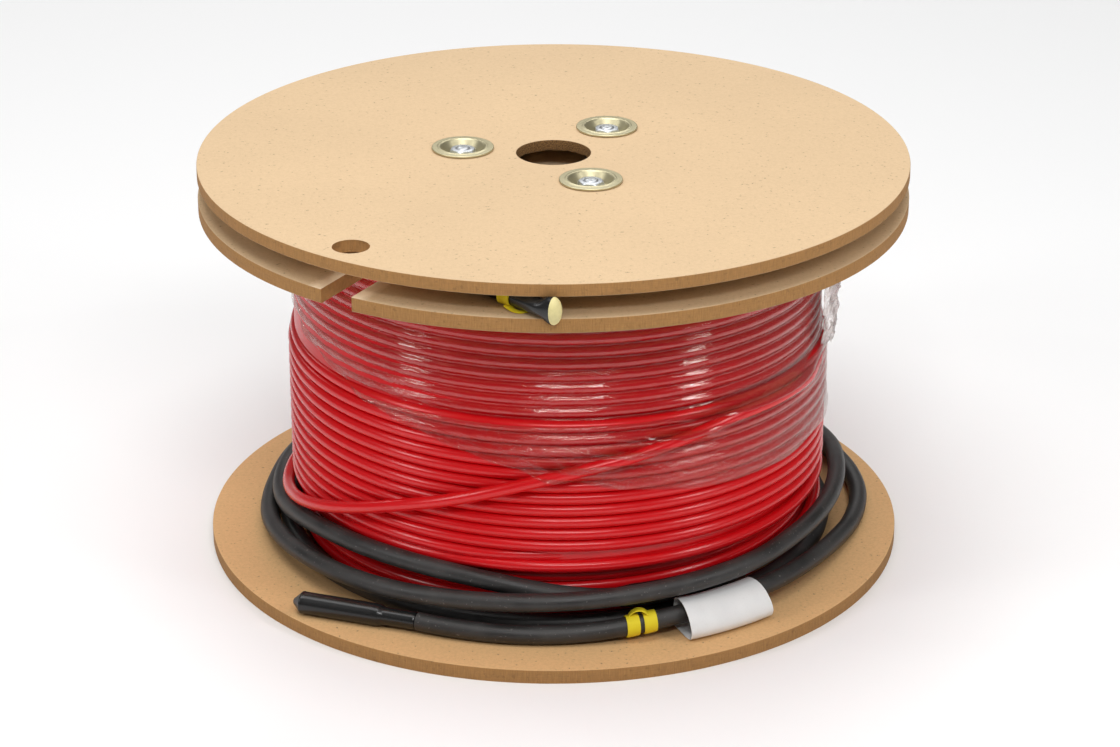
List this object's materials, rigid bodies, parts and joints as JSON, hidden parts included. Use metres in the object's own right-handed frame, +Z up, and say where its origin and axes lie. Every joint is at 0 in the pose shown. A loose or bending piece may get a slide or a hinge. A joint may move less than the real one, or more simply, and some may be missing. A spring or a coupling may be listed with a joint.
{
  "type": "heating cable reel",
  "caption": "Red electric heating cable wound on a round fibreboard reel, with a black cold lead coiled at its foot and clear stretch film round the winding.",
  "frame": {"origin": "centre of the lower flange's underside, on the reel's axis", "axes": "+Z up along the reel's axis, -Y towards the side the picture shows, +X to its right"},
  "size_m": [0.4, 0.4089, 0.2315],
  "materials": {
    "dark_board": "smooth brown fibreboard",
    "board": "light tan fibreboard",
    "card": "plain brown card",
    "bright_zinc": "bright zinc plate, slightly worn",
    "yellow_zinc": "yellow zinc plate with faint colours",
    "red_sheath": "glossy red cable sheath",
    "black_rubber": "matte black sheath",
    "black_shrink": "glossy heat-shrink sleeve",
    "yellow_plastic": "satin yellow plastic band",
    "paper": "white label paper",
    "clear_film": "clear wrinkled stretch film",
    "cream_plastic": "cream sealing compound"
  },
  "bodies": {
    "root": {"bottom_flange": "dark_board", "winding_flange": "board", "top_flange": "board", "barrel": "card", "bolt_1": "bright_zinc", "nut_1": "bright_zinc", "upper_washer_1": "yellow_zinc", "lower_washer_1": "yellow_zinc", "spacer_1": "card", "bolt_2": "bright_zinc", "nut_2": "bright_zinc", "upper_washer_2": "yellow_zinc", "lower_washer_2": "yellow_zinc", "spacer_2": "card", "bolt_3": "bright_zinc", "nut_3": "bright_zinc", "upper_washer_3": "yellow_zinc", "lower_washer_3": "yellow_zinc", "spacer_3": "card", "cable_winding": "red_sheath", "last_turn": "red_sheath", "splice_sleeve": "black_shrink", "cold_lead": "black_rubber", "lead_end_cap": "black_shrink", "lead_tie": "yellow_plastic", "lead_label": "paper", "stretch_film": "clear_film", "cable_tail": "red_sheath", "tail_end_sleeve": "black_shrink", "tail_end_bead": "cream_plastic", "tail_tie": "yellow_plastic"}
  },
  "joints": []
}
